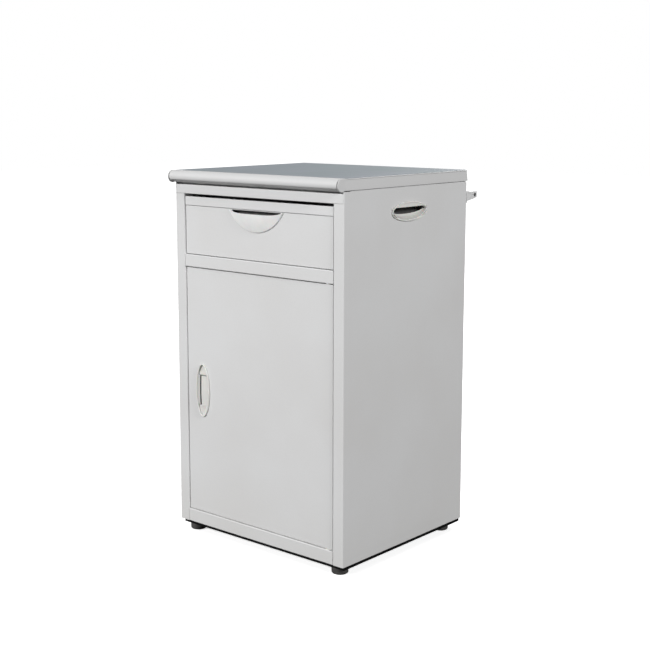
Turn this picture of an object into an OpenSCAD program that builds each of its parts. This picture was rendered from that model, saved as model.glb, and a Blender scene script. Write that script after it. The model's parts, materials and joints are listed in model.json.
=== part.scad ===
// Steel bedside cabinet: one door, one drawer, a pull-out board over the drawer,
// oval hand grips in the sides, a towel rail behind and four levelling feet.
// X runs across the front, the front faces -Y and Z is up.
// The origin is on the floor, under the middle of the whole object.

/* [Body] */
// Width over the skirts of the top
cabinet_w = 450; // [440:5:480]
// Depth from the face of the stiles to the back of the side panels
carcass_d = 392; // [380:2:430]
// Height from the floor to the worktop
total_h = 760; // [740:5:800]
// Thickness of the folded sheet steel
sheet_t = 1; // [0.8:0.1:1.2]

/* [Front] */
// Width of each front stile
stile_w = 26; // [24:1:30]
// Height of the bottom rail
bottom_rail_h = 27; // [24:1:34]
// Height of the rail between the door and the drawer
mid_rail_h = 25; // [22:1:32]
// Height of the drawer bay, up to the pull-out board
drawer_bay_h = 100; // [95:1:120]
// Height of the pull-out board's front edge
board_h = 18; // [17:0.5:22]
// Open slot between the board and the top rail
board_slot = 5.5; // [4:0.5:6]
// Height of the board's front lip above its flat
board_lip = 3; // [2:0.5:3]
// How far the door and the drawer lie behind the stiles
recess = 2.3; // [1:0.1:3]
// Height of the top rail below the skirt
top_rail_h = 24.5; // [20:0.5:30]
// Height of the skirts of the top
skirt_h = 22.5; // [20:0.5:26]
// Dark gap between the skirts and the sides
seam_gap = 2.2; // [1.5:0.1:3]

/* [Rolled front edge] */
// Height of the roll
roll_d = 25; // [22:0.5:28]
// How far the roll stands out in front of the stiles
roll_out = 20; // [18:1:24]
// Gap between the roll and the top rail
roll_gap = 3.5; // [3:0.5:5]

/* [Handles] */
// Length of the oval handles
handle_len = 112; // [104:2:120]
// Width of the oval handles across their short axis
handle_w = 38; // [36:1:42]
// Height of the door handle's centre above the floor
door_grip_z = 310; // [280:5:330]
// Drop from the worktop to the centre of the side handles
side_grip_drop = 72; // [72:1:76]
// Width of the half-moon drawer pull
pull_w = 143; // [130:1:155]
// Height of the half-moon drawer pull
pull_h = 42; // [38:1:46]
// How far the middle of the pull stands out
pull_out = 8; // [6:0.5:10]
// Sag of the pull's open lip
pull_sag = 8; // [7:0.5:9]

/* [Base and feet] */
// Height of the recessed base
base_h = 8.5; // [7:0.5:10]
// Height of the feet below the base
foot_h = 13.5; // [12:0.5:16]
// Diameter of the feet
foot_d = 33; // [26:1:34]
// Radius of the feet's rounded lower edge
foot_round = 3.5; // [3:0.5:6]

/* [Towel rail] */
// How far the towel rail reaches behind the back
rail_out = 52; // [45:1:60]
// Diameter of the towel bar
bar_d = 12; // [10:1:14]

/* [Hidden] */
$fn = 64;

// Clearances
fit = 0.2;            // between folded pieces of one body
run = 0.3;            // between pieces that pass each other
bend = 1.5;           // inside radius of the outer corner folds
tight_bend = 0.5;     // inside radius of every other fold
paint = "gainsboro";

// Across: half widths, outside to inside
half_w = cabinet_w / 2;
side_x = half_w - sheet_t - fit;      // outer face of the side panels
wall_x = side_x - sheet_t;            // inner face of the side panels
opening_x = side_x - stile_w;         // edge of the front opening

// Depth
face_y = roll_out - (roll_out + carcass_d + rail_out) / 2;
back_y = face_y + carcass_d;
return_d = 22;                        // depth of the stiles' returns
mid_y = (face_y + back_y) / 2;
roll_y = face_y - roll_out + roll_d / 2;   // axis of the roll

// Heights
worktop_t = 0.8;
base_z = foot_h;
body_z = foot_h + base_h;
pan_z = total_h - worktop_t;          // upper face of the top pan
under_pan_z = pan_z - sheet_t;
skirt_z = total_h - skirt_h;
body_top_z = skirt_z - seam_gap;      // top of the sides
front_top_z = total_h - roll_d - roll_gap;
collar_y = 19;                        // depth of the dark gap under the roll
top_rail_z = skirt_z - top_rail_h;
board_top_z = top_rail_z - board_slot;
board_z = board_top_z - board_h;
board_pan_z = board_top_z - board_lip;
bay_z = board_z - drawer_bay_h;       // floor of the drawer bay
mid_rail_z = bay_z - mid_rail_h;
floor_z = body_z + bottom_rail_h;     // cupboard floor

// Door
door_gap = 2;
door_d = 16.5;
door_y = face_y + recess;
door_x = opening_x - door_gap;
door_lo = floor_z + door_gap;
door_hi = mid_rail_z - door_gap;
pivot_x = door_x - 12;
pivot_y = door_y + 6;
pin_r = 3;
bush_r = 5;
catch_x = -door_x + 50;

// Drawer
drawer_y = face_y + recess;
drawer_lo = bay_z + 1.6;
drawer_hi = board_z - 0.6;
front_d = door_d;
tray_x = opening_x - 15;              // outer face of the tray's sides
tray_z = bay_z + 7;
tray_h = 82;
tray_y0 = drawer_y + front_d;
tray_len = 335;

// Roller runners, between the tray and the slide channels
runner_len = 330;
runner_y0 = face_y + return_d + 1;
roller_r = 9.5;
roller_w = 7;
axle_r = 2.5;
track_z = tray_z + 2;                 // running face of the cabinet runner
channel_x = tray_x + 12.2;            // face of the slide channel
cab_roller_x = channel_x - sheet_t - 0.4 - roller_w;
drw_roller_x = tray_x + sheet_t + 1.2;
cab_roller_y = runner_y0 + 12;
cab_roller_z = track_z + roller_r + run + 0.4;
drw_roller_y = runner_y0 + runner_len - 14;
drw_roller_z = track_z + roller_r + run;
drw_flange_z = cab_roller_z + roller_r + run;

// Pull-out board
board_y = face_y + recess - 0.8;
board_pan_x = opening_x - 11.8;
board_pan_h = 12;
board_len = 330;

// Handles
cup_a = handle_len / 2;
cup_b = handle_w / 2;
side_grip_z = total_h - side_grip_drop;
door_grip_x = -door_x + 43;
side_cover_edge = 9;                  // free edge of the covers, from the oval's middle
door_cover_edge = -2.4;
side_scoop = 10.5;                    // length of the slope down into the side handles
door_scoop = 6;
door_cover_len = 62;
pull_r = (pow(pull_w / 2, 2) + pow(pull_h, 2)) / (2 * pull_h);
pull_zc = drawer_hi - pull_h + pull_r;                     // centre of the half moon
pull_rim = 1.5;                                            // upright edge of the pull
pull_wall = 2.4;
crown = pull_out - pull_rim;
pull_c = (pow(pull_r, 2) - pow(pull_r - pull_h, 2) - pow(crown, 2)) / (2 * crown);
pull_sphere_r = sqrt(pow(pull_r, 2) + pow(pull_c, 2));

// Towel rail and fasteners
rail_z = total_h - 55;
bracket_x = side_x - 10;
rivet_r = 1.6;
screw_r = 1.9;

// Feet
foot_x = side_x - 28;
foot_y_front = face_y + 25;
foot_y_rear = back_y - 35;
stud_r = 4;
stud_top_z = floor_z - 7;

// ---------------------------------------------------------------- helpers

function unit(v) = v / norm(v);
function left_of(d) = [-d[1], d[0]];
function turned(v, a) = [v[0] * cos(a) - v[1] * sin(a), v[0] * sin(a) + v[1] * cos(a)];
function cross2(a, b) = a[0] * b[1] - a[1] * b[0];

// Points of one fold: the sheet's drawn face and its other face, as pairs
function fold_pairs(p0, p1, p2, t, r, n = 5) =
    let (d1 = unit(p1 - p0), d2 = unit(p2 - p1))
    let (n1 = left_of(d1), n2 = left_of(d2), s = sign(cross2(d1, d2)))
    let (ra = sign(t) == s ? r + abs(t) : r)
    let (c = p1 + s * ra * (n1 + n2) / (1 + n1 * n2))
    let (turn = s * acos(max(-1, min(1, n1 * n2))))
    [for (i = [0 : n]) let (m = turned(n1, turn * i / n)) [c - s * ra * m, c - s * ra * m + t * m]];

// Closed outline of a folded sheet whose drawn face follows the path.
// A positive thickness lies to the left of the path, a negative one to the right.
function sheet_outline(path, t, r) =
    let (last = len(path) - 1)
    let (m0 = left_of(unit(path[1] - path[0])), m1 = left_of(unit(path[last] - path[last - 1])))
    let (pairs = concat(
        [[path[0], path[0] + t * m0]],
        [for (i = [1 : last - 1]) each fold_pairs(path[i - 1], path[i], path[i + 1], t, r)],
        [[path[last], path[last] + t * m1]]))
    concat([for (p = pairs) p[0]], [for (i = [len(pairs) - 1 : -1 : 0]) pairs[i][1]]);

// A profile drawn as (Y, Z), extruded across from x0 to x1
module across(x0, x1) {
    translate([x0, 0, 0]) rotate([90, 0, 90]) linear_extrude(x1 - x0) children();
}

// A profile drawn as (X, Z), extruded backwards from y0 to y1
module along(y0, y1) {
    translate([0, y1, 0]) rotate([90, 0, 0]) linear_extrude(y1 - y0) children();
}

// A profile drawn as (X, Y), extruded upwards from z0 to z1
module up(z0, z1) {
    translate([0, 0, z0]) linear_extrude(z1 - z0) children();
}

// Folded sheet whose drawn face follows the path, with its metal to the right of it
module folded(path, r = tight_bend) {
    polygon(sheet_outline(path, -sheet_t, r));
}

// The same with the metal to the left of the path
module folded_left(path, r = tight_bend) {
    polygon(sheet_outline(path, sheet_t, r));
}

module block(lo, hi) {
    translate(lo) cube(hi - lo);
}

module ellipse(a, b, n = 56) {
    polygon([for (i = [0 : n - 1]) [a * cos(360 * i / n), b * sin(360 * i / n)]]);
}

module x_rod(x0, x1, y, z, r) {
    translate([x0, y, z]) rotate([0, 90, 0]) cylinder(r = r, h = x1 - x0);
}

module y_rod(x, y0, y1, z, r) {
    translate([x, y1, z]) rotate([90, 0, 0]) cylinder(r = r, h = y1 - y0);
}

module both_sides() {
    children();
    mirror([1, 0, 0]) children();
}

// ---------------------------------------------------------------- carcass

// Right-hand side: rear flange, side, front stile and its return
module side_panel() {
    keep_x = side_x - sheet_t - bend - 0.2;
    difference() {
        union() {
            up(body_z, body_top_z) folded([
                [side_x - 16, back_y], [side_x, back_y], [side_x, face_y],
                [opening_x, face_y], [opening_x, face_y + return_d]], bend);
            block([side_x - 18, face_y + 26, body_z], [wall_x + 0.1, back_y - 17, body_z + sheet_t]);
        }
        block([opening_x - 1, face_y - 1, top_rail_z], [keep_x, face_y + return_d + 1, total_h]);
        block([opening_x - 1, face_y + 4, body_z - 1],
              [opening_x + 10, face_y + return_d + 1, stud_top_z + 1]);
        translate([side_x - 5, mid_y, side_grip_z]) rotate([90, 0, 90]) linear_extrude(10)
            ellipse(cup_a - 4, cup_b - 3);
        rivet_spots() y_rod(0, back_y - 5, back_y + 5, 0, rivet_r + 0.1);
        rail_screw_spots() y_rod(0, back_y - 5, back_y + 5, 0, screw_r + 0.1);
    }
}

module side_panel_right() {
    color(paint) side_panel();
}

// The left-hand side also has the lip that the door closes against
module side_panel_left() {
    color(paint) union() {
        mirror([1, 0, 0]) side_panel();
        block([-opening_x - sheet_t / 2, face_y + return_d - sheet_t, floor_z + 1],
              [-opening_x + 9, face_y + return_d, mid_rail_z - 1]);
    }
}

// Where the rivets and the towel rail's screws pass through the rear flanges
module rivet_spots() {
    for (s = [-1, 1], k = [0 : 4])
        translate([s * (side_x - 9), 0, body_z + 40 + k * (top_rail_z - body_z - 110) / 4])
            children();
}

module rail_screw_spots() {
    for (s = [-1, 1], z = [-8, 3]) translate([s * (bracket_x + 5), 0, rail_z + z]) children();
}

module back_panel() {
    color(paint) difference() {
        block([-(wall_x - bend - fit), back_y - 2 * sheet_t, body_z + 2],
              [wall_x - bend - fit, back_y - sheet_t, body_top_z - fit]);
        rivet_spots() y_rod(0, back_y - 5, back_y, 0, rivet_r + 0.1);
        rail_screw_spots() y_rod(0, back_y - 5, back_y, 0, screw_r + 0.1);
    }
}

module back_rivets() {
    color("silver") rivet_spots() union() {
        y_rod(0, back_y - 2 * sheet_t, back_y, 0, rivet_r);
        y_rod(0, back_y - 2 * sheet_t - 1.2, back_y - 2 * sheet_t, 0, rivet_r + 1.3);
        y_rod(0, back_y, back_y + 0.9, 0, rivet_r + 1.3);
    }
}

// A floor that is narrow between the stiles and full width behind their returns
module floor_wings(z_top) {
    both_sides()
        block([opening_x - 1, face_y + return_d + fit, z_top - sheet_t],
              [wall_x - fit / 2, back_y - 2 * sheet_t - fit, z_top]);
}

module bottom_panel() {
    color(paint) difference() {
        union() {
            across(-(opening_x - 0.1), opening_x - 0.1) folded([
                [face_y + 14, body_z], [face_y, body_z], [face_y, floor_z],
                [back_y - 2 * sheet_t - fit, floor_z], [back_y - 2 * sheet_t - fit, floor_z - 18]]);
            floor_wings(floor_z);
        }
        translate([pivot_x, pivot_y, floor_z - 5]) cylinder(r = bush_r + 0.05, h = 10);
    }
}

module divider_panel() {
    color(paint) difference() {
        union() {
            across(-(opening_x - 0.1), opening_x - 0.1) folded([
                [face_y + 40, mid_rail_z], [face_y, mid_rail_z], [face_y, bay_z],
                [back_y - 2 * sheet_t - fit, bay_z]]);
            floor_wings(bay_z);
        }
        translate([pivot_x, pivot_y, mid_rail_z - 5]) cylinder(r = bush_r + 0.05, h = 10);
    }
}

// Front rail, stepped back behind the roll so that a dark gap stays under it
module top_rail() {
    rail_x = side_x - sheet_t - bend - 0.4;
    flange_y = face_y + collar_y + 11;
    step_y = face_y + collar_y - 1;
    rail_top_z = under_pan_z - fit;
    color(paint) across(-rail_x, rail_x) folded([
        [flange_y, top_rail_z], [face_y, top_rail_z], [face_y, front_top_z],
        [step_y, front_top_z], [step_y, rail_top_z], [flange_y, rail_top_z]]);
}

// Collar inside the sides and the back that carries the top above the gap
module top_collar() {
    x = wall_x - fit;
    y1 = back_y - 2 * sheet_t - fit;
    color(paint) up(body_top_z - 14, under_pan_z - fit) folded([
        [-x, face_y + collar_y], [-x, y1], [x, y1], [x, face_y + collar_y]]);
}

// Outline of the rolled edge, drawn as (Y, Z), reduced all round by inset
module roll_outline(inset = 0) {
    r = roll_d / 2;
    translate([roll_y, total_h - r]) circle(r - inset);
    translate([roll_y, total_h - roll_d + inset]) square([roll_out - r, roll_d - 2 * inset]);
}

// Outline of the ear that closes the roll's end and runs into the skirt
module ear_outline() {
    r = roll_d / 2;
    translate([roll_y, total_h - r]) circle(r);
    translate([roll_y, skirt_z]) square([roll_out - r, skirt_h]);
}

// Top pan with side and rear skirts, and a rounded ear at each end of the roll
module top_cover() {
    color(paint) union() {
        along(face_y, back_y + fit + sheet_t) folded([
            [-half_w, skirt_z], [-half_w, pan_z], [half_w, pan_z], [half_w, skirt_z]], bend);
        block([-half_w + sheet_t / 2, back_y + fit, skirt_z],
              [half_w - sheet_t / 2, back_y + fit + sheet_t, pan_z - sheet_t / 2]);
        both_sides() across(half_w - sheet_t, half_w) ear_outline();
    }
}

module worktop_sheet() {
    color("slategray") block([-half_w + 2.6, face_y + fit, pan_z], [half_w - 2.6, back_y + 1, total_h]);
}

module front_roll() {
    roll_x = half_w - sheet_t - 3;
    color(paint) difference() {
        across(-roll_x, roll_x) intersection() {
            roll_outline();
            translate([face_y - 100, 0]) square([100 - fit, total_h + 1]);
        }
        across(-roll_x + 1, roll_x - 1) union() {
            roll_outline(1);
            translate([face_y - 5, total_h - roll_d + 1]) square([6, roll_d - 2]);
        }
    }
}

// Shallow black pan under the carcass, set back from its edges
module base_frame() {
    x = side_x - 4;
    y0 = face_y + 8;
    y1 = back_y - 1;
    wall = 1.5;
    color("black") difference() {
        block([-x, y0, base_z], [x, y1, body_z]);
        block([-x + wall, y0 + wall, base_z - 1], [x - wall, y1 - wall, body_z - sheet_t]);
        foot_spots() cylinder(r = stud_r + 0.5, h = 60);
    }
}

module shelf() {
    x = wall_x - 1;
    y0 = face_y + 45;
    y1 = back_y - 8;
    z = (floor_z + mid_rail_z) / 2 + 4;
    color(paint) across(-x, x) folded([[y0, z - 18], [y0, z], [y1, z], [y1, z - 18]]);
}

module shelf_brackets() {
    z = (floor_z + mid_rail_z) / 2 + 4 - sheet_t;
    color(paint) for (y = [face_y + 75, back_y - 60]) both_sides()
        along(y, y + 30) folded([[wall_x - 14, z], [wall_x, z], [wall_x, z - 22]]);
}

// ---------------------------------------------------------------- runners

module slide_channel() {
    lo = track_z - 6;
    hi = drw_flange_z + 12;
    along(runner_y0, runner_y0 + runner_len + 10) folded([
        [wall_x, lo], [channel_x, lo], [channel_x, hi],
        [wall_x - sheet_t, hi], [wall_x - sheet_t, hi + 10]]);
}

module slide_channel_right() {
    color("silver") slide_channel();
}

module slide_channel_left() {
    color("silver") mirror([1, 0, 0]) slide_channel();
}

// C-shaped runner on the channel; its lower flange carries the drawer's roller
module cabinet_runner() {
    lip_x = tray_x + 3.4;
    hi = drw_flange_z + 5;
    difference() {
        along(runner_y0, runner_y0 + runner_len) folded_left([
            [lip_x, track_z - sheet_t], [channel_x, track_z - sheet_t], [channel_x, hi], [lip_x, hi]]);
        x_rod(channel_x - 4, channel_x + 1, cab_roller_y, cab_roller_z, axle_r + 0.05);
    }
}

module cabinet_runner_right() {
    color("silver") cabinet_runner();
}

module cabinet_runner_left() {
    color("silver") mirror([1, 0, 0]) cabinet_runner();
}

module roller(x0, y, z) {
    difference() {
        x_rod(x0, x0 + roller_w, y, z, roller_r);
        x_rod(x0 - 1, x0 + roller_w + 1, y, z, axle_r + 0.06);
    }
}

module cabinet_roller_right() {
    color("white") roller(cab_roller_x, cab_roller_y, cab_roller_z);
}

module cabinet_roller_left() {
    color("white") mirror([1, 0, 0]) roller(cab_roller_x, cab_roller_y, cab_roller_z);
}

module drawer_roller_right() {
    color("white") roller(drw_roller_x, drw_roller_y, drw_roller_z);
}

module drawer_roller_left() {
    color("white") mirror([1, 0, 0]) roller(drw_roller_x, drw_roller_y, drw_roller_z);
}

module cabinet_roller_axles() {
    color("dimgray") both_sides() union() {
        x_rod(cab_roller_x - 0.3, channel_x, cab_roller_y, cab_roller_z, axle_r);
        x_rod(cab_roller_x - 1.2, cab_roller_x - 0.3, cab_roller_y, cab_roller_z, axle_r + 1.5);
    }
}

module drawer_roller_axles() {
    x1 = drw_roller_x + roller_w;
    color("dimgray") both_sides() union() {
        x_rod(tray_x, x1 + 0.3, drw_roller_y, drw_roller_z, axle_r);
        x_rod(x1 + 0.3, x1 + 1.2, drw_roller_y, drw_roller_z, axle_r + 1.5);
    }
}

// Z-shaped runner that wraps under the tray and rides on the cabinet's roller
module drawer_runner() {
    y0 = tray_y0 + 2;
    difference() {
        along(y0, runner_y0 + runner_len - 2) folded_left([
            [tray_x - 14, tray_z - sheet_t], [tray_x + sheet_t, tray_z - sheet_t],
            [tray_x + sheet_t, drw_flange_z], [channel_x - sheet_t - 0.6, drw_flange_z]]);
        x_rod(tray_x - 1, tray_x + 3, drw_roller_y, drw_roller_z, axle_r + 0.05);
    }
}

module drawer_runner_right() {
    color("silver") drawer_runner();
}

module drawer_runner_left() {
    color("silver") mirror([1, 0, 0]) drawer_runner();
}

// ---------------------------------------------------------------- drawer

// A pan with folded edges and inner lips, standing behind its front face
module front_pan(x, y, z0, z1, d, lip) {
    difference() {
        block([-x, y, z0], [x, y + d, z1]);
        block([-x + sheet_t, y + sheet_t, z0 + sheet_t], [x - sheet_t, y + d - sheet_t, z1 - sheet_t]);
        block([-x + lip, y + d - 3, z0 + lip], [x - lip, y + d + 1, z1 - lip]);
    }
}

// Half-moon outline of the drawer pull, drawn as (X, Z), reduced by inset
module half_moon(inset = 0, top_cut = 0) {
    intersection() {
        translate([0, pull_zc]) circle(pull_r - inset);
        translate([-pull_w, drawer_hi - pull_h - 5]) square([2 * pull_w, pull_h + 5 - top_cut]);
    }
}

module drawer_front() {
    color(paint) difference() {
        front_pan(door_x, drawer_y, drawer_lo, drawer_hi, front_d, 12);
        along(drawer_y - 1, drawer_y + sheet_t + 1) half_moon(5, sheet_t);
    }
}

// Bottom and sides in one folded sheet, with a front wall behind the drawer front
module drawer_tray() {
    x = tray_x;
    z1 = tray_z + tray_h;
    color(paint) union() {
        along(tray_y0, tray_y0 + tray_len) folded_left([[-x, z1], [-x, tray_z], [x, tray_z], [x, z1]]);
        block([-x + sheet_t / 2, tray_y0, tray_z + sheet_t / 2], [x - sheet_t / 2, tray_y0 + sheet_t, z1]);
    }
}

module drawer_back() {
    x = tray_x - sheet_t - tight_bend;
    y1 = tray_y0 + tray_len - 2;
    z1 = tray_z + tray_h - 6;
    color(paint) across(-x, x) folded_left([
        [y1 - 12, tray_z + sheet_t], [y1, tray_z + sheet_t], [y1, z1]]);
}

// The solid under the pull's crowned face, reduced all round by inset
module pull_dome(inset = 0) {
    intersection() {
        translate([0, drawer_y - pull_rim + pull_c, pull_zc]) sphere(pull_sphere_r - inset, $fn = 160);
        along(drawer_y - 60, drawer_y + inset) half_moon(inset);
    }
}

// Shell of the pull: a crowned half moon, cut off below the finger opening
module drawer_pull() {
    lip_r = (pow(pull_w / 2, 2) + pow(pull_sag, 2)) / (2 * pull_sag);
    color("ivory") difference() {
        pull_dome();
        pull_dome(pull_wall);
        y_rod(0, drawer_y - 60, drawer_y + 3, drawer_hi - pull_sag + lip_r, lip_r);
    }
}

// Closed pocket behind the opening in the drawer front
module drawer_pull_pocket() {
    y0 = drawer_y + sheet_t;
    depth = 12;
    wall = 1.5;
    color("dimgray") difference() {
        along(y0, y0 + depth + wall) half_moon(3.2, sheet_t + fit);
        along(y0 - 1, y0 + depth) half_moon(5, 2 * sheet_t + fit);
    }
}

// ---------------------------------------------------------------- pull-out board

// Pan with a raised front lip that fills the opening from side to side
module pull_board() {
    y0 = board_y;
    y1 = face_y + board_len;
    x = board_pan_x;
    front_x = opening_x - 1;
    lip_y = y0 + 5;
    hem_z = board_pan_z - board_pan_h;
    color(paint) union() {
        along(lip_y - sheet_t / 2, y1) folded([
            [-x, hem_z], [-x, board_pan_z], [x, board_pan_z], [x, hem_z]]);
        across(-front_x, front_x) folded([
            [y0 + 8, board_z], [y0, board_z], [y0, board_top_z],
            [lip_y, board_top_z], [lip_y, board_pan_z - sheet_t / 2]]);
    }
}

module board_glides() {
    y1 = face_y + board_len;
    x = board_pan_x - sheet_t;
    color("white") both_sides()
        block([x - 8.5, y1 - 34, board_pan_z - board_pan_h], [x - 0.6, y1 - 4, board_pan_z - sheet_t]);
}

// C-shaped guide with a top flange that reaches out to the side panel
module board_guide() {
    lo = board_pan_z - board_pan_h - run;
    hi = board_pan_z + run + sheet_t;
    web_x = board_pan_x + 0.6;
    y0 = face_y + return_d + 1;
    y1 = face_y + board_len + 20;
    along(y0, y1) union() {
        folded([[web_x - 9, lo], [web_x, lo], [web_x, hi - sheet_t], [web_x - 9, hi - sheet_t]]);
        folded_left([[web_x - 8, hi], [wall_x, hi], [wall_x, hi + 12]]);
    }
}

module board_guide_right() {
    color("silver") board_guide();
}

module board_guide_left() {
    color("silver") mirror([1, 0, 0]) board_guide();
}

// ---------------------------------------------------------------- door

module door_skin() {
    color(paint) difference() {
        front_pan(door_x, door_y, door_lo, door_hi, door_d, 14);
        translate([door_grip_x, door_y - 1, door_grip_z]) rotate([-90, 0, 0]) linear_extrude(3)
            ellipse(cup_b - 3, cup_a - 4);
        for (z = [door_lo - 1, door_hi - 2])
            translate([pivot_x, pivot_y, z]) cylinder(r = pin_r + 0.1, h = 3);
    }
}

module door_stiffener() {
    y0 = door_y + sheet_t;
    y1 = door_y + door_d - 2 * sheet_t;
    color(paint) up(door_lo + sheet_t + 0.2, door_hi - sheet_t - 0.2) folded_left([
        [-44, y0], [-30, y0], [-30, y1], [30, y1], [30, y0], [44, y0]]);
}

module hinge_plates() {
    color("silver") for (z = [door_lo + sheet_t, door_hi - sheet_t - 3]) difference() {
        block([door_x - 50, door_y + sheet_t, z], [door_x - sheet_t, door_y + door_d - sheet_t, z + 3]);
        translate([pivot_x, pivot_y, z - 1]) cylinder(r = pin_r + 0.1, h = 5);
    }
}

module hinge_pins() {
    reach = 7;
    color("silver") {
        translate([pivot_x, pivot_y, door_lo - reach]) cylinder(r = pin_r, h = reach + 14);
        translate([pivot_x, pivot_y, door_hi - 14]) cylinder(r = pin_r, h = reach + 14);
    }
}

// Flanged bush; the flange lies in the gap between the door and the rail
module bush() {
    difference() {
        union() {
            translate([0, 0, -6]) cylinder(r = bush_r, h = 6);
            cylinder(r = bush_r + 2.5, h = 1.2);
        }
        translate([0, 0, -7]) cylinder(r = pin_r + 0.06, h = 10);
    }
}

module hinge_bushes() {
    color("white") {
        translate([pivot_x, pivot_y, floor_z]) bush();
        translate([pivot_x, pivot_y, mid_rail_z]) mirror([0, 0, 1]) bush();
    }
}

module door_catch() {
    y0 = door_y + door_d + 1.9;
    color("dimgray") block([catch_x - 23, y0, mid_rail_z - 13], [catch_x + 23, y0 + 15, mid_rail_z]);
}

module door_strike() {
    y0 = door_y + door_d;
    color("silver") block([catch_x - 19, y0, mid_rail_z - 12.5], [catch_x + 19, y0 + 1.5, mid_rail_z - 3]);
}

module door_buffers() {
    y1 = face_y + return_d - sheet_t;
    y0 = door_y + door_d + run;
    color("dimgray") for (z = [floor_z + 60, mid_rail_z - 60])
        y_rod(-opening_x + 4.5, y0, y1, z, 4);
}

// ---------------------------------------------------------------- oval handles

// Drawn on the panel's face: long axis along X, outwards +Z; the cover lies beyond Y = edge
module handle_cover(cover_len, edge, scoop) {
    in_a = cup_a - 6;
    in_b = cup_b - 5;
    end = max(5, cup_a - cover_len / 2);      // open length at each end of the cover
    difference() {
        union() {
            linear_extrude(3.2) ellipse(cup_a, cup_b);
            translate([0, 0, -sheet_t - 2]) linear_extrude(4) ellipse(cup_a - 4.2, cup_b - 3.2);
        }
        translate([0, 0, -10]) linear_extrude(11) ellipse(in_a, in_b);
        linear_extrude(10) intersection() {
            ellipse(in_a, in_b);
            union() {
                translate([-cup_a, -cup_b]) square([2 * cup_a, cup_b + edge]);
                for (x = [-cup_a, cup_a - end]) translate([x, -cup_b]) square([end, 2 * cup_b]);
            }
        }
    }
    // the scoop slopes from the rim down behind the cover
    intersection() {
        translate([0, 0, -12.5]) linear_extrude(14) ellipse(in_a + 0.4, in_b + 0.4);
        translate([-cup_a, -in_b, 0.5]) rotate([-40, 0, 0]) translate([0, 0, -1.8]) cube([2 * cup_a, scoop, 1.8]);
    }
}

module handle_pocket(depth) {
    translate([0, 0, -depth]) difference() {
        union() {
            linear_extrude(depth - sheet_t) ellipse(cup_a - 2.3, cup_b - 1.3);
            translate([0, 0, depth - sheet_t - 1.2]) linear_extrude(1.2) ellipse(cup_a - 0.5, cup_b - 1.3);
        }
        translate([0, 0, 1.5]) linear_extrude(depth) ellipse(cup_a - 3.9, cup_b - 2.9);
    }
}

module on_right_side() {
    translate([side_x, mid_y, side_grip_z]) rotate([90, 0, 90]) children();
}

module on_door() {
    translate([door_grip_x, door_y, door_grip_z]) rotate([90, 0, 0]) rotate([0, 0, -90]) children();
}

module side_handle_right() {
    color("ivory") on_right_side() handle_cover(handle_len, side_cover_edge, side_scoop);
}

module side_handle_left() {
    color("ivory") mirror([1, 0, 0]) on_right_side() handle_cover(handle_len, side_cover_edge, side_scoop);
}

module side_handle_pockets() {
    color("dimgray") both_sides() on_right_side() handle_pocket(22);
}

module door_handle() {
    color("ivory") on_door() handle_cover(door_cover_len, door_cover_edge, door_scoop);
}

module door_handle_pocket() {
    color("dimgray") on_door() handle_pocket(door_d - sheet_t - 1);
}

// ---------------------------------------------------------------- towel rail

module towel_bracket() {
    tip_y = back_y + rail_out;
    bar_y = tip_y - bar_d / 2 - 1;
    difference() {
        union() {
            across(bracket_x - 2, bracket_x) polygon([
                [back_y, rail_z - 13], [back_y, rail_z + 8],
                [tip_y, rail_z + 8], [tip_y, rail_z - 4], [tip_y - 12, rail_z - 7]]);
            block([bracket_x - 2, back_y, rail_z - 13], [bracket_x + 10, back_y + 2, rail_z + 8]);
        }
        x_rod(bracket_x - 5, bracket_x + 1, bar_y, rail_z + 1, bar_d / 2 - 2);
        rail_screw_spots() y_rod(0, back_y - 1, back_y + 3, 0, screw_r + 0.1);
    }
}

module towel_brackets() {
    color(paint) both_sides() towel_bracket();
}

// The bar's stepped ends sit in the brackets
module towel_bar() {
    bar_y = back_y + rail_out - bar_d / 2 - 1;
    color("silver") union() {
        x_rod(-bracket_x + 2, bracket_x - 2, bar_y, rail_z + 1, bar_d / 2);
        x_rod(-bracket_x, bracket_x, bar_y, rail_z + 1, bar_d / 2 - 2.05);
    }
}

module towel_screws() {
    color("silver") rail_screw_spots() union() {
        y_rod(0, back_y - 6, back_y + 2, 0, screw_r);
        y_rod(0, back_y + 2, back_y + 3.8, 0, screw_r + 1.6);
    }
}

// ---------------------------------------------------------------- feet

module foot_spots() {
    for (y = [foot_y_front, foot_y_rear], s = [-1, 1]) translate([s * foot_x, y, 0]) children();
}

module foot_nuts() {
    color("silver") foot_spots() difference() {
        translate([0, 0, body_z]) cylinder(r = 7.5, h = 6.5, $fn = 6);
        cylinder(r = stud_r + 0.06, h = 100);
    }
}

module foot_pad() {
    r = foot_d / 2;
    color("black") difference() {
        rotate_extrude() polygon(concat([[0, 0]],
            [for (a = [0 : 15 : 90]) [r - foot_round * (1 - sin(a)), foot_round * (1 - cos(a))]],
            [[r, foot_h - run], [9, foot_h - run],
             [9, body_z - sheet_t - run], [0, body_z - sheet_t - run]]));
        translate([0, 0, 5]) cylinder(r = stud_r + 0.05, h = 60);
    }
}

module foot_stud() {
    color("silver") translate([0, 0, 5]) cylinder(r = stud_r, h = stud_top_z - 5);
}

module foot_pad_front_left() { translate([-foot_x, foot_y_front, 0]) foot_pad(); }
module foot_pad_front_right() { translate([foot_x, foot_y_front, 0]) foot_pad(); }
module foot_pad_rear_left() { translate([-foot_x, foot_y_rear, 0]) foot_pad(); }
module foot_pad_rear_right() { translate([foot_x, foot_y_rear, 0]) foot_pad(); }
module foot_stud_front_left() { translate([-foot_x, foot_y_front, 0]) foot_stud(); }
module foot_stud_front_right() { translate([foot_x, foot_y_front, 0]) foot_stud(); }
module foot_stud_rear_left() { translate([-foot_x, foot_y_rear, 0]) foot_stud(); }
module foot_stud_rear_right() { translate([foot_x, foot_y_rear, 0]) foot_stud(); }

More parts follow.
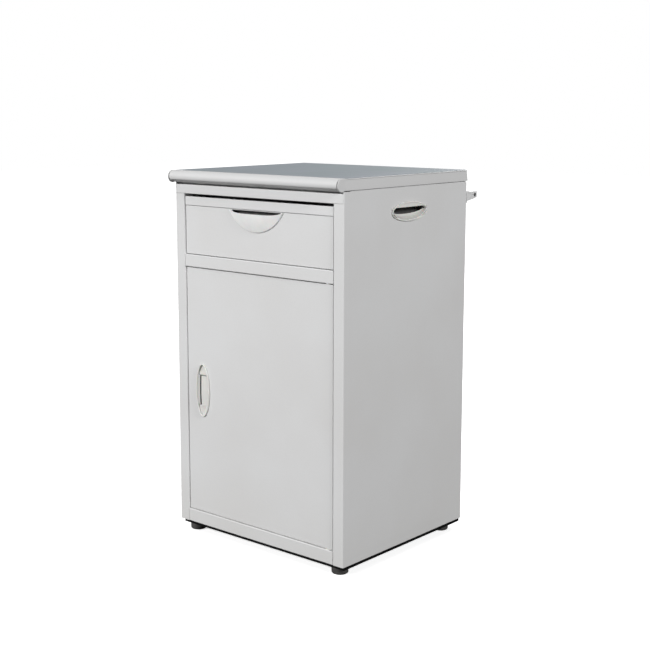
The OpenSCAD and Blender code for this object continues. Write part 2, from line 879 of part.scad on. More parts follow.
// ---------------------------------------------------------------- nodes

side_panel_left();
side_panel_right();
back_panel();
bottom_panel();
divider_panel();
top_rail();
top_collar();
top_cover();
worktop_sheet();
front_roll();
base_frame();
shelf();
shelf_brackets();
slide_channel_left();
slide_channel_right();
cabinet_runner_left();
cabinet_runner_right();
board_guide_left();
board_guide_right();
door_catch();
hinge_bushes();
side_handle_left();
side_handle_right();
side_handle_pockets();
towel_bar();
towel_brackets();
towel_screws();
back_rivets();
foot_nuts();
door_buffers();
cabinet_roller_axles();
pull_board();
board_glides();
drawer_front();
drawer_tray();
drawer_back();
drawer_pull();
drawer_pull_pocket();
drawer_runner_left();
drawer_runner_right();
drawer_roller_axles();
cabinet_roller_left();
cabinet_roller_right();
drawer_roller_left();
drawer_roller_right();
door_skin();
door_stiffener();
door_handle();
door_handle_pocket();
hinge_plates();
hinge_pins();
door_strike();
foot_pad_front_left();
foot_pad_front_right();
foot_pad_rear_left();
foot_pad_rear_right();
foot_stud_front_left();
foot_stud_front_right();
foot_stud_rear_left();
foot_stud_rear_right();
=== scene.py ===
"""Looks of a steel bedside cabinet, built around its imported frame.

Lengths in this file are millimetres unless a name says otherwise; MM turns them into metres.
"""
import json
import math

import bmesh
import bpy
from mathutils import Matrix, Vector


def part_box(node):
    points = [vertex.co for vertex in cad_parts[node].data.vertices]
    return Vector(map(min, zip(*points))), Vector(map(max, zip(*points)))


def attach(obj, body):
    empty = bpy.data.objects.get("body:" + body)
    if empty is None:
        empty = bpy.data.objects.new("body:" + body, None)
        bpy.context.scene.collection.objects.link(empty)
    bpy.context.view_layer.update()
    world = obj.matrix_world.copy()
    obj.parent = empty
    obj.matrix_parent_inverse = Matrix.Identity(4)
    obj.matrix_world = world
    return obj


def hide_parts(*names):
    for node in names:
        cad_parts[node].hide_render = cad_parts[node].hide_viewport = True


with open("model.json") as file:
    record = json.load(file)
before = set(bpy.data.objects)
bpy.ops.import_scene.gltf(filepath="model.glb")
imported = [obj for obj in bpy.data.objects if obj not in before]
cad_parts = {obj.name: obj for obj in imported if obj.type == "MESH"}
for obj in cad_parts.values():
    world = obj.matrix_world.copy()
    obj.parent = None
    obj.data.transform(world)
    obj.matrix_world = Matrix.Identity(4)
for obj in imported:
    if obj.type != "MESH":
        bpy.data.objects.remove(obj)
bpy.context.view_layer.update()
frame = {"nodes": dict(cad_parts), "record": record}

MM = 0.001


def box_mm(node):
    """Lowest and highest corner of a CAD node, in millimetres."""
    lo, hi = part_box(node)
    return lo / MM, hi / MM


# ---------------------------------------------------------------- camera and light

CAMERA_PLACE = (1.6644, -1.9516, 0.8977)    # metres
CAMERA_TURN = 0.7176                        # radians, anticlockwise from looking along +Y
CAMERA_TILT = 0.1572                        # radians below the horizon
CAMERA_LENS = 69.1
SENSOR_WIDTH = 36
CAMERA_SHIFT = (0.02, -0.04)

AIM = Vector((0, 0, 0.4))                   # metres, the middle of the cabinet
FLOOR_HALF = 12                             # metres
DIM_FLOOR = (0.09, 0.09, 0.09, 1)           # what the light bounces off
PALE_FLOOR = (0.9, 0.9, 0.9, 1)             # what the camera sees


def add_camera():
    data = bpy.data.cameras.new("camera")
    data.lens = CAMERA_LENS
    data.sensor_width = SENSOR_WIDTH
    data.shift_x, data.shift_y = CAMERA_SHIFT
    camera = bpy.data.objects.new("camera", data)
    camera.location = CAMERA_PLACE
    camera.rotation_euler = (math.pi / 2 - CAMERA_TILT, 0, CAMERA_TURN)
    bpy.context.scene.collection.objects.link(camera)
    bpy.context.scene.camera = camera


def add_soft_light(name, azimuth, elevation, distance, size, power):
    """A square area light aimed at the cabinet; azimuth 0 is in front, 90 on the right."""
    data = bpy.data.lights.new(name, "AREA")
    data.shape = "SQUARE"
    data.size = size
    data.energy = power
    light = bpy.data.objects.new(name, data)
    a, e = math.radians(azimuth), math.radians(elevation)
    towards = Vector((math.sin(a) * math.cos(e), -math.cos(a) * math.cos(e), math.sin(e)))
    light.location = AIM + towards * distance
    light.rotation_euler = towards.to_track_quat("Z", "Y").to_euler()
    bpy.context.scene.collection.objects.link(light)


def add_world(fill, shown):
    """Even fill light, with a plain pale background where the camera looks past the floor."""
    world = bpy.data.worlds.new("studio")
    bpy.context.scene.world = world
    world.use_nodes = True
    nodes, links = world.node_tree.nodes, world.node_tree.links
    nodes.clear()
    out = nodes.new("ShaderNodeOutputWorld")
    mix = nodes.new("ShaderNodeMixShader")
    path = nodes.new("ShaderNodeLightPath")
    links.new(path.outputs["Is Camera Ray"], mix.inputs["Fac"])
    for slot, strength in ((1, fill), (2, shown)):
        background = nodes.new("ShaderNodeBackground")
        background.inputs["Color"].default_value = (1, 1, 1, 1)
        background.inputs["Strength"].default_value = strength
        links.new(background.outputs["Background"], mix.inputs[slot])
    links.new(mix.outputs["Shader"], out.inputs["Surface"])


def add_floor(near, far, near_glow, far_glow):
    """Plain pale floor. It looks white but throws little light back under the cabinet.

    Its glow grows with the distance (metres) from the cabinet, so that no horizon shows."""
    corners = [(x * FLOOR_HALF, y * FLOOR_HALF, 0) for x, y in ((-1, -1), (1, -1), (1, 1), (-1, 1))]
    mesh = bpy.data.meshes.new("floor")
    mesh.from_pydata(corners, [], [(0, 1, 2, 3)])
    floor = bpy.data.objects.new("floor", mesh)
    bpy.context.scene.collection.objects.link(floor)
    material = bpy.data.materials.new("pale_floor")
    material.use_nodes = True
    nodes, links = material.node_tree.nodes, material.node_tree.links
    nodes.clear()
    out = nodes.new("ShaderNodeOutputMaterial")
    mix = nodes.new("ShaderNodeMixShader")
    path = nodes.new("ShaderNodeLightPath")
    dim = nodes.new("ShaderNodeBsdfDiffuse")
    dim.inputs["Color"].default_value = DIM_FLOOR
    pale = nodes.new("ShaderNodeBsdfDiffuse")
    pale.inputs["Color"].default_value = PALE_FLOOR
    glow = nodes.new("ShaderNodeEmission")
    place = nodes.new("ShaderNodeTexCoord")
    distance = nodes.new("ShaderNodeVectorMath")
    distance.operation = "LENGTH"
    links.new(place.outputs["Object"], distance.inputs[0])
    growth = nodes.new("ShaderNodeMapRange")
    growth.inputs["From Min"].default_value = near
    growth.inputs["From Max"].default_value = far
    growth.inputs["To Min"].default_value = near_glow
    growth.inputs["To Max"].default_value = far_glow
    links.new(distance.outputs["Value"], growth.inputs["Value"])
    links.new(growth.outputs["Result"], glow.inputs["Strength"])
    both = nodes.new("ShaderNodeAddShader")
    links.new(pale.outputs["BSDF"], both.inputs[0])
    links.new(glow.outputs["Emission"], both.inputs[1])
    links.new(path.outputs["Is Camera Ray"], mix.inputs["Fac"])
    links.new(dim.outputs["BSDF"], mix.inputs[1])
    links.new(both.outputs["Shader"], mix.inputs[2])
    links.new(mix.outputs["Shader"], out.inputs["Surface"])
    mesh.materials.append(material)


add_camera()
bpy.context.scene.view_settings.view_transform = "Standard"
add_soft_light("key", azimuth=-26, elevation=21, distance=7, size=1.4, power=430)
add_soft_light("side", azimuth=80, elevation=25, distance=7, size=1.4, power=325)
add_soft_light("back", azimuth=190, elevation=40, distance=4, size=2.2, power=100)
add_world(fill=0.10, shown=1.0)
add_floor(near=0.7, far=2.6, near_glow=0.62, far_glow=1.1)


# ---------------------------------------------------------------- materials

class Finish:
    """A principled material with short calls for the textures it is made of."""

    def __init__(self, name, colour, roughness, metallic=0.0):
        self.material = bpy.data.materials.new(name)
        self.material.use_nodes = True
        self.nodes = self.material.node_tree.nodes
        self.links = self.material.node_tree.links
        self.shader = self.nodes["Principled BSDF"]
        self.shader.inputs["Base Color"].default_value = (*colour, 1)
        self.shader.inputs["Roughness"].default_value = roughness
        self.shader.inputs["Metallic"].default_value = metallic
        self.place = self.nodes.new("ShaderNodeTexCoord").outputs["Object"]
        self.normal = None

    def stretched(self, factors):
        mapping = self.nodes.new("ShaderNodeMapping")
        mapping.inputs["Scale"].default_value = factors
        self.links.new(self.place, mapping.inputs["Vector"])
        return mapping.outputs["Vector"]

    def noise(self, size_mm, detail=2.0, stretch=(1, 1, 1)):
        """Noise whose blotches are about size_mm across."""
        node = self.nodes.new("ShaderNodeTexNoise")
        node.inputs["Scale"].default_value = 1 / (size_mm * MM)
        node.inputs["Detail"].default_value = detail
        self.links.new(self.stretched(stretch), node.inputs["Vector"])
        return node.outputs["Fac"]

    def cells(self, size_mm):
        """Random grey value per cell of about size_mm."""
        node = self.nodes.new("ShaderNodeTexVoronoi")
        node.inputs["Scale"].default_value = 1 / (size_mm * MM)
        self.links.new(self.place, node.inputs["Vector"])
        split = self.nodes.new("ShaderNodeSeparateColor")
        self.links.new(node.outputs["Color"], split.inputs["Color"])
        return split.outputs["Red"]

    def ramp(self, value, low, high, at=(0.35, 0.65)):
        """Colour ramp from low to high, both (r, g, b)."""
        node = self.nodes.new("ShaderNodeValToRGB")
        for element, place, colour in zip(node.color_ramp.elements, at, (low, high)):
            element.position = place
            element.color = (*colour, 1)
        self.links.new(value, node.inputs["Fac"])
        return node.outputs["Color"]

    def number(self, value, low, high):
        node = self.nodes.new("ShaderNodeMapRange")
        node.inputs["To Min"].default_value = low
        node.inputs["To Max"].default_value = high
        self.links.new(value, node.inputs["Value"])
        return node.outputs["Result"]

    def tinted(self, base, other, factor, blend="MULTIPLY"):
        node = self.nodes.new("ShaderNodeMix")
        node.data_type = "RGBA"
        node.blend_type = blend
        if isinstance(factor, float):
            node.inputs["Factor"].default_value = factor
        else:
            self.links.new(factor, node.inputs["Factor"])
        self.links.new(base, node.inputs["A"])
        if isinstance(other, tuple):
            node.inputs["B"].default_value = (*other, 1)
        else:
            self.links.new(other, node.inputs["B"])
        return node.outputs["Result"]

    def colour(self, value):
        self.links.new(value, self.shader.inputs["Base Color"])

    def roughness(self, value):
        self.links.new(value, self.shader.inputs["Roughness"])

    def bump(self, height, depth_mm, strength=1.0):
        node = self.nodes.new("ShaderNodeBump")
        node.inputs["Strength"].default_value = strength
        node.inputs["Distance"].default_value = depth_mm * MM
        self.links.new(height, node.inputs["Height"])
        if self.normal:
            self.links.new(self.normal, node.inputs["Normal"])
        self.normal = node.outputs["Normal"]
        self.links.new(self.normal, self.shader.inputs["Normal"])


def grey(value, warm=0.0):
    """Grey as (r, g, b), a little yellower where warm is above 0."""
    return (value * (1 + warm), value, value * (1 - warm))


def near_floor(finish, top_mm):
    """1 at the floor, falling to 0 at the height top_mm."""
    split = finish.nodes.new("ShaderNodeSeparateXYZ")
    finish.links.new(finish.place, split.inputs["Vector"])
    node = finish.nodes.new("ShaderNodeMapRange")
    node.inputs["From Max"].default_value = top_mm * MM
    node.inputs["To Min"].default_value = 1
    node.inputs["To Max"].default_value = 0
    finish.links.new(split.outputs["Z"], node.inputs["Value"])
    return node.outputs["Result"]


def body_paint(name, tone):
    """Matte light grey powder coat; tone below 1 darkens it as painted shade."""
    f = Finish(name, grey(0.7 * tone), 0.55)
    broad = f.ramp(f.noise(220, 3), grey(0.675 * tone, 0.004), grey(0.705 * tone, -0.003))
    speck = f.ramp(f.noise(1.1, 1), grey(0.94), grey(1.0), at=(0.3, 0.5))
    colour = f.tinted(broad, speck, 0.5)
    colour = f.tinted(colour, (0.975, 0.97, 0.96), near_floor(f, 160))
    f.colour(colour)
    f.roughness(f.number(f.noise(35, 4), 0.5, 0.62))
    f.shader.inputs["Specular IOR Level"].default_value = 0.35
    f.bump(f.noise(180, 1), 0.9, 0.35)
    f.bump(f.noise(1.6, 2), 0.05, 0.5)
    return f.material


def worktop():
    f = Finish("worktop", (0.33, 0.38, 0.40), 0.4)
    patches = f.ramp(f.noise(120, 3), (0.315, 0.365, 0.385), (0.345, 0.375, 0.415))
    # streaks running front to back across the sheet: painted reflection of the surroundings in its glossy
    # face
    painted_reflection_streaks = f.ramp(f.noise(14, 3, (1, 0.05, 1)), grey(0.93), grey(1.0))
    f.colour(f.tinted(patches, painted_reflection_streaks, 0.8))
    f.roughness(f.number(f.noise(9, 4, (1, 0.08, 1)), 0.32, 0.46))
    f.bump(f.noise(1.3, 2), 0.04, 0.5)
    return f.material


def moulded_plastic(name, low, high):
    """Semi-gloss plastic whose colour drifts a little between low and high."""
    f = Finish(name, high, 0.32)
    f.colour(f.ramp(f.noise(18, 3), low, high))
    f.shader.inputs["Subsurface Weight"].default_value = 0.08
    f.shader.inputs["Subsurface Scale"].default_value = 0.002
    f.roughness(f.number(f.noise(6, 3), 0.26, 0.38))
    f.bump(f.noise(0.5, 2), 0.012, 0.6)
    return f.material


def dark_finish(name, value, rough, grain_mm, grain_depth, warm=0.0, specular=0.4):
    """Black or dark grey finish with a fine grain and a little dust."""
    f = Finish(name, grey(value, warm), rough)
    f.shader.inputs["Specular IOR Level"].default_value = specular
    dust = f.ramp(f.noise(12, 4), grey(value * 0.85, warm), grey(value * 1.25, warm))
    f.colour(dust)
    f.roughness(f.number(f.noise(8, 3), rough - 0.08, rough + 0.08))
    f.bump(f.noise(grain_mm, 2), grain_depth, 0.7)
    return f.material


def zinc_steel():
    f = Finish("zinc_steel", (0.62, 0.63, 0.65), 0.35, metallic=1.0)
    f.colour(f.ramp(f.cells(7), (0.55, 0.56, 0.585), (0.66, 0.67, 0.69), at=(0.1, 0.9)))
    f.roughness(f.number(f.noise(5, 4), 0.28, 0.45))
    f.bump(f.noise(0.8, 2), 0.02, 0.5)
    return f.material


def bar_steel():
    f = Finish("bar_steel", (0.70, 0.71, 0.72), 0.25, metallic=1.0)
    rings = f.noise(3, 2, (1, 0.04, 0.04))
    f.colour(f.ramp(rings, (0.67, 0.68, 0.69), (0.72, 0.73, 0.74)))
    f.roughness(f.number(rings, 0.27, 0.36))
    f.bump(rings, 0.003, 0.3)
    return f.material


def white_nylon():
    f = Finish("white_nylon", (0.88, 0.88, 0.85), 0.45)
    f.colour(f.ramp(f.noise(9, 3), (0.82, 0.82, 0.78), (0.88, 0.88, 0.85)))
    f.shader.inputs["Subsurface Weight"].default_value = 0.1
    f.shader.inputs["Subsurface Scale"].default_value = 0.002
    f.roughness(f.number(f.noise(4, 3), 0.38, 0.52))
    f.bump(f.noise(0.6, 2), 0.015, 0.6)
    return f.material


FINISHES = {
    "body_paint": body_paint("body_paint", 1.0),
    # a darker copy of the body paint: painted shade on the rolled edge, top pan and ears
    "shaded_top_paint": body_paint("shaded_top_paint", 0.92),
    "worktop": worktop(),
    "cream_plastic": moulded_plastic("cream_plastic", (0.72, 0.715, 0.68), (0.75, 0.745, 0.715)),
    "white_plastic": moulded_plastic("white_plastic", (0.84, 0.84, 0.83), (0.875, 0.875, 0.87)),
    # the grip pockets wear this near-black: partly their own colour and partly painted shade deep inside the
    # recesses
    "black_plastic": dark_finish("black_plastic", 0.07, 0.6, 0.5, 0.02),
    "base_paint": dark_finish("base_paint", 0.004, 0.7, 1.5, 0.04, specular=0.1),
    "black_foot": dark_finish("black_foot", 0.06, 0.6, 0.7, 0.03, 0.03),
    "black_rubber": dark_finish("black_rubber", 0.03, 0.75, 0.6, 0.04),
    "dark_magnet": dark_finish("dark_magnet", 0.1, 0.5, 0.6, 0.02),
    "zinc_steel": zinc_steel(),
    "bar_steel": bar_steel(),
    "white_nylon": white_nylon(),
}
NODE_SLOT = {part["node"]: part["material_slot"] for part in frame["record"]["subparts"]}


# ---------------------------------------------------------------- mesh helpers

MERGE = 0.02                  # points closer than this are one
CAD_MERGE = 0.005             # the same for the CAD nodes
CAD_EDGE = 0.3                # width of the softly broken edges of the CAD nodes
NORMAL_WEIGHT = 80            # how strongly the large faces set the shading


def new_piece(name, verts, faces, slot, body, *nodes, finish=None):
    """A mesh object from millimetre points, riding a body and standing for CAD nodes.

    It wears its slot's finish unless another one is named."""
    mesh = bpy.data.meshes.new(name)
    mesh.from_pydata([Vector(v) * MM for v in verts], [], faces)
    bm = bmesh.new()
    bm.from_mesh(mesh)
    bmesh.ops.remove_doubles(bm, verts=bm.verts, dist=MERGE * MM)
    bmesh.ops.recalc_face_normals(bm, faces=bm.faces)
    bm.to_mesh(mesh)
    bm.free()
    mesh.materials.append(FINISHES[finish or slot])
    piece = bpy.data.objects.new(name, mesh)
    bpy.context.scene.collection.objects.link(piece)
    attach(piece, body)
    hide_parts(*nodes)
    for polygon in mesh.polygons:
        polygon.use_smooth = True
    return piece


def round_edges(piece, width, segments=3, angle=35):
    """Round every edge that turns by more than angle degrees."""
    bevel = piece.modifiers.new("edges", "BEVEL")
    bevel.width = width * MM
    bevel.segments = segments
    bevel.limit_method = "ANGLE"
    bevel.angle_limit = math.radians(angle)
    bevel.use_clamp_overlap = True
    keep_flats_flat(piece)


def keep_flats_flat(piece):
    """Shade flat faces flat and rounded ones smooth, by weighing normals by face area."""
    normals = piece.modifiers.new("normals", "WEIGHTED_NORMAL")
    normals.keep_sharp = True
    normals.weight = NORMAL_WEIGHT


def thicken(piece, thickness):
    """Give an open surface thickness, inwards from its drawn face."""
    solid = piece.modifiers.new("thickness", "SOLIDIFY")
    solid.thickness = thickness * MM
    solid.offset = -1


def skin(rings, closed=True):
    """Vertices and faces of a surface through rings that have equal point counts."""
    count = len(rings[0])
    verts = [p for ring in rings for p in ring]
    faces = []
    for i in range(len(rings) - 1):
        for j in range(count if closed else count - 1):
            k = (j + 1) % count
            faces.append((i * count + j, i * count + k, (i + 1) * count + k, (i + 1) * count + j))
    return verts, faces


def capped(rings):
    """The same with both end rings filled."""
    verts, faces = skin(rings)
    count = len(rings[0])
    faces.append(tuple(range(count)))
    faces.append(tuple(range(len(verts) - count, len(verts))))
    return verts, faces


def quarter(radius, steps=4):
    """(along, inset) pairs that round an end over by radius, from the end inwards."""
    angles = [math.radians(90 * i / steps) for i in range(steps + 1)]
    return [(radius * (1 - math.sin(a)), radius * (1 - math.cos(a))) for a in reversed(angles)]


def arc(centre, radius, start, stop, steps):
    """Points on an arc, angles in degrees from the first axis towards the second."""
    angles = [math.radians(start + (stop - start) * i / steps) for i in range(steps + 1)]
    return [(centre[0] + radius * math.cos(a), centre[1] + radius * math.sin(a)) for a in angles]


def lathe(name, profile, centre, slot, body, *nodes, steps=64):
    """Turned piece: profile holds (radius, z) pairs from bottom to top."""
    rings = []
    for r, z in profile:
        turn = [math.tau * i / steps for i in range(steps)]
        rings.append([(centre[0] + r * math.cos(a), centre[1] + r * math.sin(a), z) for a in turn])
    return new_piece(name, *capped(rings), slot, body, *nodes)


def grid(point, across, down):
    """Open surface through point(u, v), with u and v from 0 to 1."""
    rings = [[point(i / across, j / down) for i in range(across + 1)] for j in range(down + 1)]
    return skin(rings, closed=False)


# ---------------------------------------------------------------- CAD nodes that stay

def dress_cad_nodes():
    """Every CAD node gets its slot's finish and softly broken edges."""
    for name, node in frame["nodes"].items():
        slot = NODE_SLOT[name]
        node.data.materials.clear()
        node.data.materials.append(FINISHES[slot])
        weld = node.modifiers.new("weld", "WELD")
        weld.merge_threshold = CAD_MERGE * MM
        round_edges(node, CAD_EDGE, segments=2, angle=30)


dress_cad_nodes()


# ---------------------------------------------------------------- top

roll_lo, roll_hi = box_mm("front_roll")
cover_lo, cover_hi = box_mm("top_cover")
sheet_lo, sheet_hi = box_mm("worktop_sheet")
ROLL_R = (roll_hi.z - roll_lo.z) / 2
ROLL_CENTRE = (roll_lo.y + ROLL_R, roll_hi.z - ROLL_R)
UNDERSIDE_ANGLE = 28          # degrees below the horizon at which the roll's underside turns back
ROLL_END = 0.6                # rounding of the roll's ends
TOP_FRONT = roll_hi.y + 0.2   # front end of the top pan, just behind the roll
SHEET_T = 1
PAN_CORNER = 3.5              # rounding of the pan's rear corners, seen from above
PAN_EDGE = 1.6                # rounding of the pan's upper edges
LEAST_CORNER = 0.4
EAR_T = 1.8                   # thickness of the ears
EAR_RIM = 0.8                 # rounding of their outer edge
WORKTOP_CORNER = 4
WORKTOP_EDGE = 0.3


def roll_section(inset):
    """Outline of the roll as (y, z): round in front, then a straight slope back underneath."""
    front = arc(ROLL_CENTRE, ROLL_R - inset, 90, 180 + UNDERSIDE_ANGLE, 20)
    back_y = roll_hi.y - inset
    return [(back_y, roll_hi.z - inset)] + front + [(back_y, roll_lo.z + inset)]


def along_x(section, x):
    """A ring of points at x from an outline of (y, z) pairs."""
    return [(x, y, z) for y, z in section]


def build_roll():
    """The rolled front edge, with softly rounded ends."""
    left = [along_x(roll_section(inset), roll_lo.x + step) for step, inset in quarter(ROLL_END)]
    right = [along_x(roll_section(inset), roll_hi.x - step) for step, inset in quarter(ROLL_END)]
    roll = new_piece("rolled_edge", *capped(left + right[::-1]), "body_paint", "carcass", "front_roll",
                     finish="shaded_top_paint")
    keep_flats_flat(roll)


def pan_ring(inset, z):
    """Open U in plan: up the left side, round the two rear corners and down the right side."""
    x, y = cover_hi.x - inset, cover_hi.y - inset
    r = max(PAN_CORNER - inset, LEAST_CORNER)
    left = arc((-x + r, y - r), r, 180, 90, 5)
    right = arc((x - r, y - r), r, 90, 0, 5)
    return [(px, py, z) for px, py in [(-x, TOP_FRONT)] + left + right + [(x, TOP_FRONT)]]


def build_top_cover():
    """Pan with rounded upper edges, and a rounded ear closing each end of the roll."""
    pan_z = sheet_lo.z
    skirt_z = ear_bottom_z()
    rings = [pan_ring(0, skirt_z)]
    rings += [pan_ring(inset, pan_z - step) for inset, step in quarter(PAN_EDGE, 5)[::-1]]
    verts, faces = skin(rings, closed=False)
    count = len(rings[0])
    faces.append(tuple(range(len(verts) - count, len(verts))))
    pan = new_piece("top_pan", verts, faces, "body_paint", "carcass", "top_cover", finish="shaded_top_paint")
    thicken(pan, SHEET_T)
    keep_flats_flat(pan)
    for side in (-1, 1):
        outer = cover_hi.x * side
        inner = (cover_hi.x - EAR_T) * side
        rings = [along_x(ear_section(0), inner)]
        rings += [along_x(ear_section(inset), outer - side * step) for step, inset in quarter(EAR_RIM)][::-1]
        name = "roll_ear_right" if side > 0 else "roll_ear_left"
        ear = new_piece(name, *capped(rings), "body_paint", "carcass", "top_cover", finish="shaded_top_paint")
        keep_flats_flat(ear)


def ear_bottom_z():
    """Height of the skirt's lower edge, where the ear's circle crosses the carcass face."""
    run_back = TOP_FRONT - ROLL_CENTRE[0]
    return ROLL_CENTRE[1] - math.sqrt(ROLL_R ** 2 - run_back ** 2)


def ear_section(inset):
    """Outline of an ear as (y, z): the roll's circle, cut off where the skirt begins."""
    r = ROLL_R - inset
    drop = math.degrees(math.acos((TOP_FRONT - ROLL_CENTRE[0]) / ROLL_R))
    round_part = arc(ROLL_CENTRE, r, 90, 360 - drop, 28)
    return [(TOP_FRONT, cover_hi.z - inset)] + round_part + [(TOP_FRONT, ear_bottom_z() + inset)]


def build_worktop():
    """The blue-grey sheet, with rounded rear corners."""
    corner = WORKTOP_CORNER
    lo, hi = sheet_lo, sheet_hi
    outline = []
    for cx, cy, start in ((hi.x - corner, hi.y - corner, 0), (lo.x + corner, hi.y - corner, 90)):
        outline += arc((cx, cy), corner, start, start + 90, 6)
    outline += [(lo.x, lo.y), (hi.x, lo.y)]
    rings = [[(x, y, z) for x, y in outline] for z in (lo.z, hi.z)]
    top = new_piece("worktop", *capped(rings), "worktop", "carcass", "worktop_sheet")
    round_edges(top, WORKTOP_EDGE)


build_roll()
build_top_cover()
build_worktop()


# ---------------------------------------------------------------- drawer pull

PULL_RIM = 1.1                # radius of the pull's edge, where it stands off the drawer
PULL_CROWN = 6.8              # how much its middle rises above that edge
PULL_HEIGHT = 42              # from the bottom of its edge to the ends of its lip
PULL_SAG = 7                  # sag of its open lip
PULL_WALL = 1.4
PULL_EDGE = 0.7               # rounding along the lip
LIP_FLATNESS = 5              # the higher, the sharper the lip turns up at its ends
SHELL_ANGLE = 50              # degrees; a thin shell's edges turn by more, its face by less


def build_drawer_pull():
    """Half-moon shell with a rounded edge and a crowned face, open along its upper lip."""
    lo, hi = box_mm("drawer_pull")
    half = hi.x
    top = lo.z + PULL_HEIGHT
    radius = (half ** 2 + PULL_HEIGHT ** 2) / (2 * PULL_HEIGHT)
    centre_z = lo.z + radius

    def point(u, v):
        x = half * math.sin(math.pi * (u - 0.5))
        lip = top - PULL_SAG * (1 - abs(x / half) ** LIP_FLATNESS)
        edge = centre_z - math.sqrt(radius ** 2 - x ** 2)
        z = lip + (edge - lip) * math.sin(math.pi / 2 * v)
        from_edge = max(0.0, radius - math.hypot(x, z - centre_z))
        rim = PULL_RIM * math.sqrt(1 - max(0.0, 1 - from_edge / PULL_RIM) ** 2)
        crown = PULL_CROWN * (1 - (1 - from_edge / PULL_HEIGHT) ** 2)
        return (x, hi.y - rim - crown, z)

    pull = new_piece("drawer_pull_shell", *grid(point, 72, 40), "white_plastic", "drawer", "drawer_pull")
    thicken(pull, PULL_WALL)
    round_edges(pull, PULL_EDGE, angle=SHELL_ANGLE)


build_drawer_pull()


# ---------------------------------------------------------------- oval grips

CUP_A, CUP_B = 56, 19         # half axes of the oval
RING_W = 2.8                  # width of the bezel
RING_H = 3.2                  # how far the bezel stands out
SIDE_GRIP = {"cover": 112, "edge": 9, "scoop_to": -5.4, "scoop_depth": 11}
DOOR_GRIP = {"cover": 62, "edge": -2.4, "scoop_to": -10, "scoop_depth": 0.5}
END_FLOOR = 0.2               # depth of the shallow ends beside the door grip's cover
UNDERCUT = 1.2                # how far the bezel's rim overhangs its foot
FOOT_H = 0.5                  # height of that foot above the panel
FOOT_DEPTH = 0.8              # how far it sinks into the panel
BEZEL_ROUND = 1.2             # rounding of the bezel's inner edge
BEZEL_DEPTH = 2               # depth of its inner wall below the panel's face
BEZEL_LIP = (1.5, 0.6)        # the wall's last turn: outwards, and further down
TUCK = 1                      # how far the cover and the floors reach under the bezel
COVER_T = 2
COVER_EDGE = 0.7              # rounding of the cover's free edge
COVER_SINK = 0.6              # how far the cover lies below the bezel's top
COVER_CROWN = 0.8             # how much the middle of its free edge rises
SCOOP_T = 1.4
SCOOP_TUCK = 1.2              # how far the scoop reaches under the bezel
SCOOP_SINK = 0.4              # how far its rim lies below the bezel's top
SCOOP_NARROWING = 2.3         # how much shorter its lower edge is at each end
SCOOP_FALL = 0.6              # the lower, the steeper the scoop falls away at its ends
COVER_GAP = 0.8               # between the cover and an end floor
FLOOR_T = 1.2
FLOOR_DISH = 1.2              # how much deeper the middle of an end floor is


def oval(a, b, angle):
    """Point of an oval with half axes a and b."""
    return a * math.cos(angle), b * math.sin(angle)


def grip_bezel():
    """Rounded oval ring; its section holds (inset, height) pairs, from outside to inside."""
    outer_round = RING_W * 0.4
    steps = 96
    section = [(UNDERCUT, -FOOT_DEPTH), (UNDERCUT, FOOT_H), (0, FOOT_H)]
    section += [(outer_round * (1 - math.cos(a)), FOOT_H + (RING_H - FOOT_H) * math.sin(a))
                for a in (math.radians(18 * i) for i in range(1, 6))]
    section += [(RING_W - BEZEL_ROUND * (1 - math.sin(a)), RING_H - BEZEL_ROUND * (1 - math.cos(a)))
                for a in (math.radians(18 * i) for i in range(6))]
    section += [(RING_W, -BEZEL_DEPTH), (RING_W - BEZEL_LIP[0], -BEZEL_DEPTH - BEZEL_LIP[1])]
    rings = []
    for inset, z in section:
        turn = [math.tau * i / steps for i in range(steps)]
        rings.append([(*oval(CUP_A - inset, CUP_B - inset, t), z) for t in turn])
    rings.append(rings[0])
    return skin(rings)


def grip_scoop(grip):
    """Slope from the bezel's lower half down to where the dark pocket opens."""
    rim_a, rim_b = CUP_A - RING_W + SCOOP_TUCK, CUP_B - RING_W + SCOOP_TUCK
    low_a = rim_a - SCOOP_NARROWING
    rim_z = RING_H - SCOOP_SINK
    start = math.acos(min(1, (grip["cover"] / 2 + 1) / rim_a))

    def point(u, v):
        t = start + (math.pi - 2 * start) * u
        rim = (-rim_a * math.cos(t), grip["edge"] * (1 - math.sin(t)) - rim_b * math.sin(t))
        fall = math.sin(t) ** SCOOP_FALL
        edge = (-low_a * math.cos(t), grip["edge"] + (grip["scoop_to"] - grip["edge"]) * fall)
        sink = math.sin(math.pi / 2 * v)
        return (rim[0] + (edge[0] - rim[0]) * v, rim[1] + (edge[1] - rim[1]) * v,
                rim_z - (rim_z + grip["scoop_depth"] * fall) * sink)
    return grid(point, 48, 8)


def grip_cover(grip):
    """Plate over the upper half, crowned a little, with a straight free edge."""
    in_a, in_b = CUP_A - RING_W + TUCK, CUP_B - RING_W + TUCK
    half = min(grip["cover"] / 2, in_a * math.sqrt(1 - (grip["edge"] / in_b) ** 2) - 0.1)

    def point(u, v):
        x = half * math.sin(math.pi * (u - 0.5))
        top = in_b * math.sqrt(1 - (x / in_a) ** 2)
        y = grip["edge"] + (top - grip["edge"]) * v
        crown = COVER_CROWN * (1 - (x / half) ** 2) * (1 - v)
        return (x, y, RING_H - COVER_SINK + crown)
    return grid(point, 40, 8)


def grip_end_floor(grip, end):
    """Shallow floor of the recess between the cover and one end of the oval."""
    in_a, in_b = CUP_A - RING_W + TUCK, CUP_B - RING_W + TUCK
    start = grip["cover"] / 2 + COVER_GAP

    def point(u, v):
        x = start + (in_a - 0.2 - start) * u
        half = in_b * math.sqrt(1 - (x / in_a) ** 2)
        dish = FLOOR_DISH * (1 - (2 * v - 1) ** 2) * math.sin(math.pi * u)
        return (end * x, half * (2 * v - 1), -END_FLOOR - dish)
    return grid(point, 12, 12)


def placed(mesh_data, to_world):
    """The same mesh with its points (along, across, outwards) set into the cabinet."""
    verts, faces = mesh_data
    return [to_world(*v) for v in verts], faces


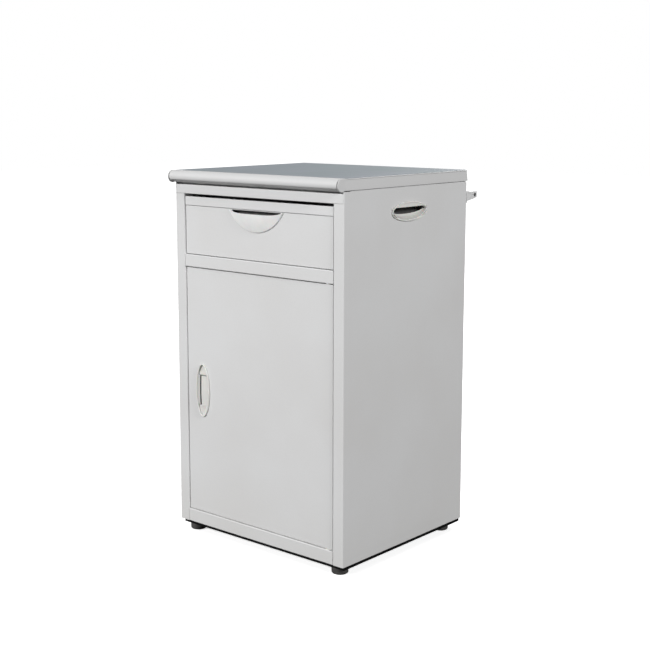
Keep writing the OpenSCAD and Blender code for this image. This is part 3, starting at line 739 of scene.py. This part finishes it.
def build_grip(prefix, to_world, grip, body, node):
    """Bezel, scoop and cover of one oval grip."""
    new_piece(prefix + "_bezel", *placed(grip_bezel(), to_world), "cream_plastic", body, node)
    scoop = new_piece(prefix + "_scoop", *placed(grip_scoop(grip), to_world), "cream_plastic", body, node)
    thicken(scoop, SCOOP_T)
    cover = new_piece(prefix + "_cover", *placed(grip_cover(grip), to_world), "cream_plastic", body, node)
    thicken(cover, COVER_T)
    round_edges(cover, COVER_EDGE, angle=SHELL_ANGLE)


def build_grips():
    """The grips in both sides, and the one in the door with its two end floors."""
    for side, name in ((-1, "side_handle_left"), (1, "side_handle_right")):
        lo, hi = box_mm(name)
        middle = (lo + hi) / 2
        face = hi.x - RING_H if side > 0 else lo.x + RING_H

        def to_world(a, b, out, face=face, side=side, middle=middle):
            return (face + side * out, middle.y + side * a, middle.z + b)

        build_grip(name, to_world, SIDE_GRIP, "carcass", name)
    lo, hi = box_mm("door_handle")
    middle = (lo + hi) / 2

    def on_door(a, b, out):
        return (middle.x + b, lo.y + RING_H - out, middle.z - a)

    build_grip("door_grip", on_door, DOOR_GRIP, "door", "door_handle")
    for end, name in ((1, "door_grip_floor_low"), (-1, "door_grip_floor_high")):
        floor = new_piece(name, *placed(grip_end_floor(DOOR_GRIP, end), on_door),
                          "cream_plastic", "door", "door_handle")
        thicken(floor, FLOOR_T)


build_grips()


# ---------------------------------------------------------------- feet

PAD_LOW = 3.5                 # rounding of a pad's lower edge
PAD_HIGH = 1.2                # rounding of its upper edge
PAD_DISH = 0.4                # hollow in the middle of its sole
NECK_R = 9
NECK_LENGTH = 5
AXIS_R = 0.01                 # where a turned profile meets its axis


def build_feet():
    """Turned rubber pads with a rounded sole edge and a narrower neck."""
    for spot in ("front_left", "front_right", "rear_left", "rear_right"):
        node = "foot_pad_" + spot
        lo, hi = box_mm(node)
        centre = ((lo.x + hi.x) / 2, (lo.y + hi.y) / 2)
        r = (hi.x - lo.x) / 2
        top = hi.z - NECK_LENGTH
        sole = r - PAD_LOW
        profile = [(AXIS_R, lo.z + PAD_DISH), (sole - 3, lo.z + PAD_DISH), (sole - 2, lo.z)]
        profile += [(sole + PAD_LOW * math.sin(a), lo.z + PAD_LOW * (1 - math.cos(a)))
                    for a in (math.radians(15 * i) for i in range(7))]
        profile += [(r - PAD_HIGH + PAD_HIGH * math.cos(a), top - PAD_HIGH + PAD_HIGH * math.sin(a))
                    for a in (math.radians(30 * i) for i in range(4))]
        profile += [(NECK_R, top), (NECK_R, hi.z), (AXIS_R, hi.z)]
        lathe("foot_" + spot, profile, centre, "black_foot", "foot_" + spot, node)


build_feet()
